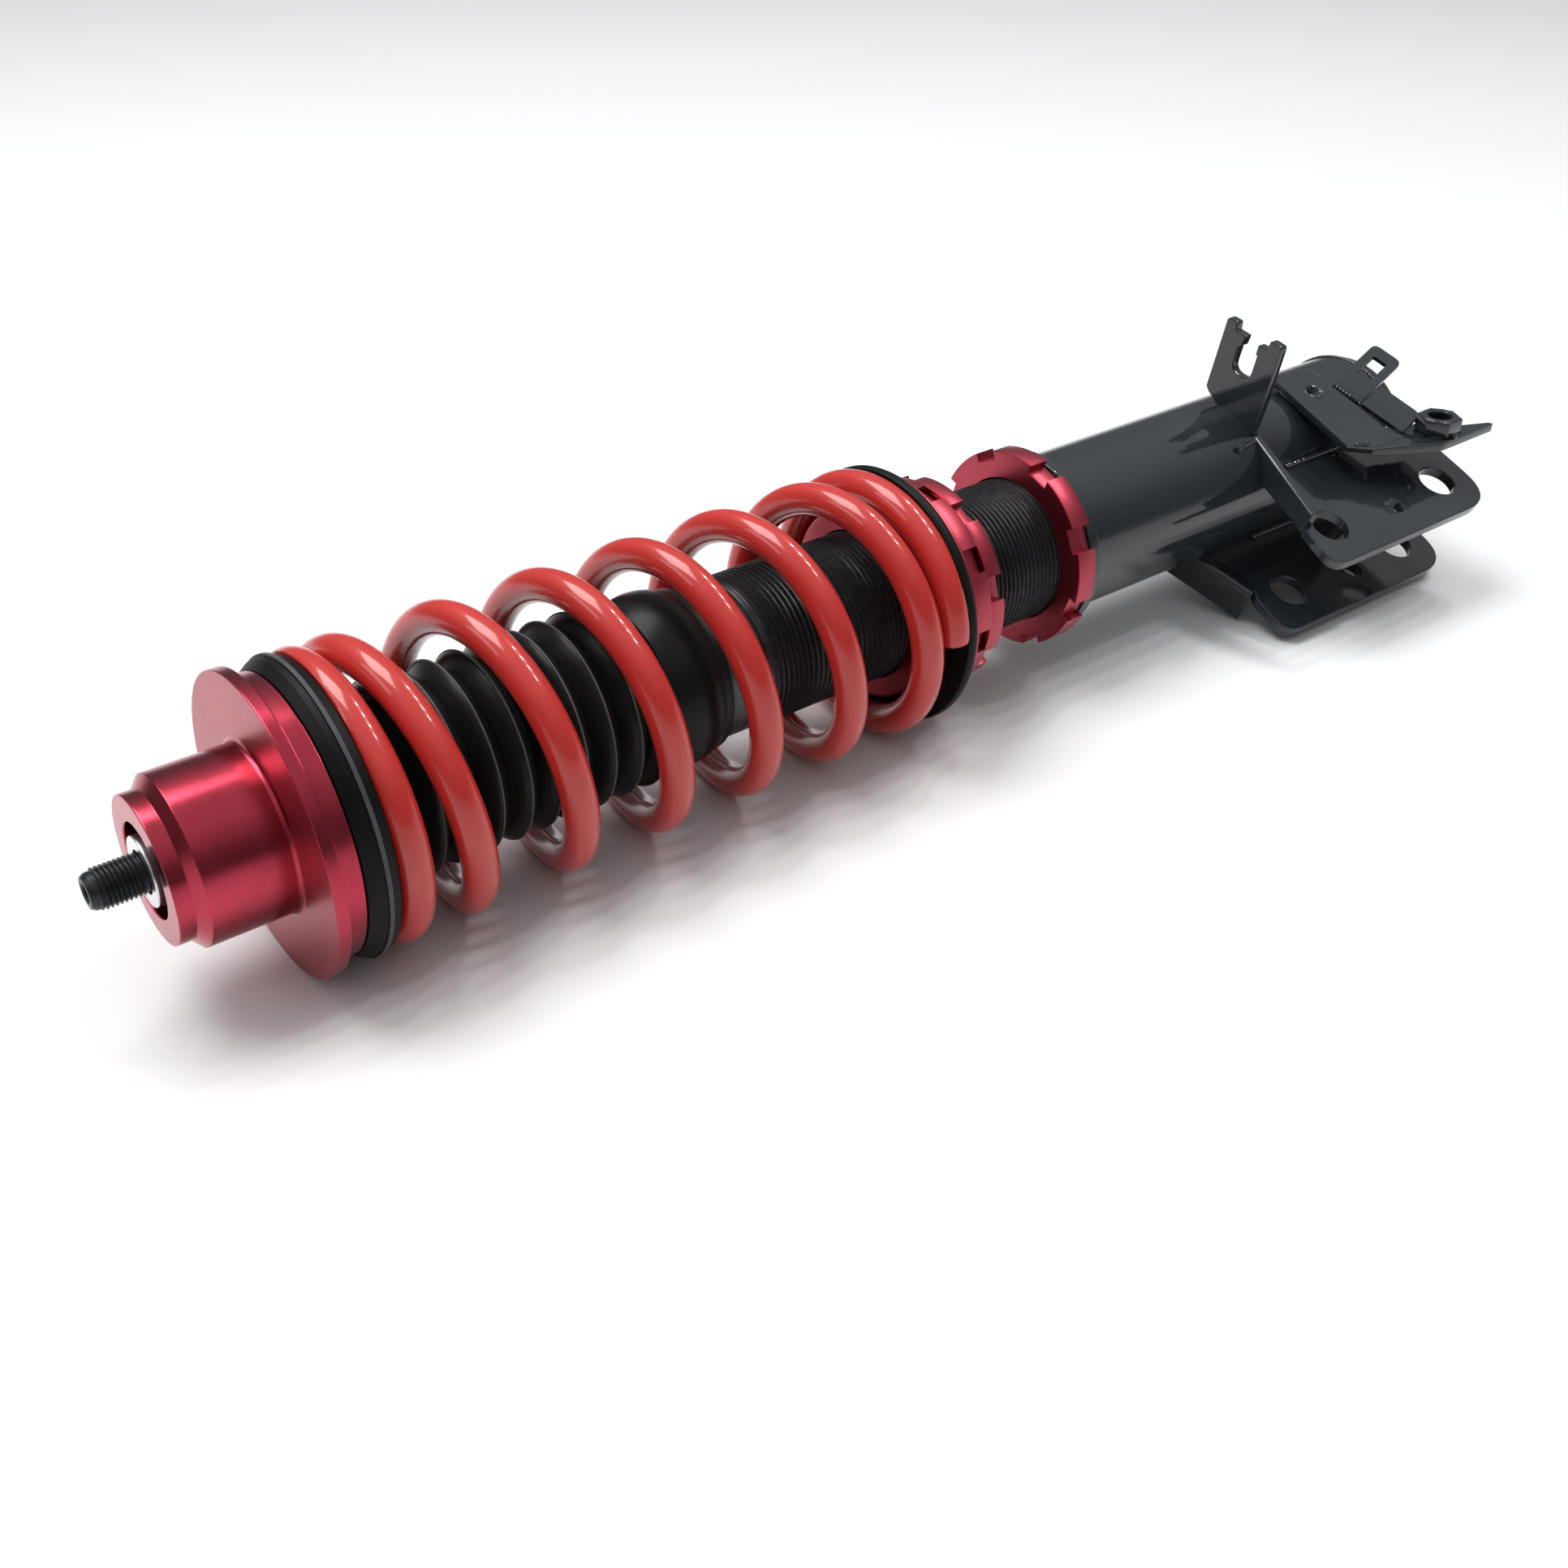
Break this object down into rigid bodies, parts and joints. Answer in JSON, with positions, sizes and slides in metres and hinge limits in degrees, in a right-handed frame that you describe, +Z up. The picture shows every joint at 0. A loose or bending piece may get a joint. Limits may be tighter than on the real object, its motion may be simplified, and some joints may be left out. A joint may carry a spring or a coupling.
{
  "type": "coilover",
  "caption": "Height-adjustable suspension strut: coil spring over a threaded damper, top seat, dust boot, lock rings and a forked knuckle bracket with sensor and hose tabs.",
  "frame": {"origin": "centre of the bounding box's underside, on the surface that the strut lies on", "axes": "+X along the strut axis from the rod stud to the knuckle bracket, +Z up from the surface, -Y towards the knuckle ears"},
  "size_m": [0.5336, 0.1173, 0.108],
  "materials": {
    "anodised": "red anodised, satin",
    "powder_coat": "red powder coat, glossy",
    "black_paint": "black paint, glossy",
    "black_steel": "black oxide",
    "rubber": "matte",
    "chrome": "ground and chromed",
    "zinc": "zinc plated",
    "bronze": "sintered",
    "bare_steel": "machined",
    "foam": "closed-cell foam",
    "plastic": "moulded"
  },
  "bodies": {
    "lower_bracket": {"bracket_tube": "black_paint", "tube_end_cap": "black_paint", "thread_insert": "black_steel", "ear_upper": "black_paint", "ear_lower": "black_paint", "sensor_plate": "black_paint", "sensor_arm": "black_paint", "sensor_nut": "black_paint", "cable_tab": "black_paint", "hose_fork": "black_paint"},
    "dust_cover": {"dust_boot": "rubber"},
    "damper_body": {"threaded_body": "black_steel", "gland_nut": "black_steel", "wiper_seal": "rubber", "oil_seal": "rubber", "rod_guide": "bare_steel", "guide_bush": "bronze", "guide_o_ring": "rubber", "inner_tube": "bare_steel", "base_valve": "bare_steel"},
    "body_lock": {"body_lock_ring": "anodised"},
    "upper_seat": {"top_hat": "anodised", "seat_bush": "bronze", "upper_isolator": "rubber", "bump_stop": "foam", "boot_retainer": "plastic"},
    "rod": {"piston_rod": "chrome", "rod_washer": "zinc", "rebound_stop": "rubber", "rebound_shims": "bare_steel", "piston": "bare_steel", "piston_band": "bronze", "compression_shims": "bare_steel", "piston_nut": "zinc"},
    "spring_seat": {"lower_isolator": "rubber", "coil_spring": "powder_coat"},
    "perch": {"spring_perch": "anodised"},
    "perch_lock": {"perch_lock_ring": "anodised"}
  },
  "joints": [
    {"name": "body_height", "type": "slide", "parent": "lower_bracket", "child": "dust_cover", "axis": [1, 0, 0], "range_m": [-0.016, 0]},
    {"name": "body_turn", "type": "hinge", "parent": "dust_cover", "child": "damper_body", "pos_m": [0, 0.01325, 0.0454], "axis": [1, 0, 0], "range_deg": [-2881, 0]},
    {"name": "body_lock_turn", "type": "hinge", "parent": "damper_body", "child": "body_lock", "pos_m": [0, 0.01325, 0.0454], "axis": [1, 0, 0], "range_deg": [-30, 0]},
    {"name": "stroke", "type": "slide", "parent": "dust_cover", "child": "upper_seat", "axis": [1, 0, 0], "range_m": [0, 0.075], "stiffness_N_per_m": 38000, "deforming": ["coil_spring", "dust_boot"]},
    {"name": "rod_turn", "type": "hinge", "parent": "upper_seat", "child": "rod", "pos_m": [0, 0.01325, 0.0454], "axis": [1, 0, 0], "continuous": true},
    {"name": "perch_height", "type": "slide", "parent": "dust_cover", "child": "spring_seat", "axis": [1, 0, 0], "range_m": [0, 0.012]},
    {"name": "perch_turn", "type": "hinge", "parent": "spring_seat", "child": "perch", "pos_m": [0, 0.01325, 0.0454], "axis": [1, 0, 0], "range_deg": [0, 2161]},
    {"name": "perch_lock_turn", "type": "hinge", "parent": "spring_seat", "child": "perch_lock", "pos_m": [0, 0.01325, 0.0454], "axis": [1, 0, 0], "range_deg": [0, 2161]}
  ],
  "couplings": [
    {"joint": "body_turn", "follows": "body_height", "rad_per_m": 3141.6},
    {"joint": "perch_turn", "follows": "perch_height", "rad_per_m": 3141.6},
    {"joint": "perch_lock_turn", "follows": "perch_height", "rad_per_m": 3141.6}
  ]
}
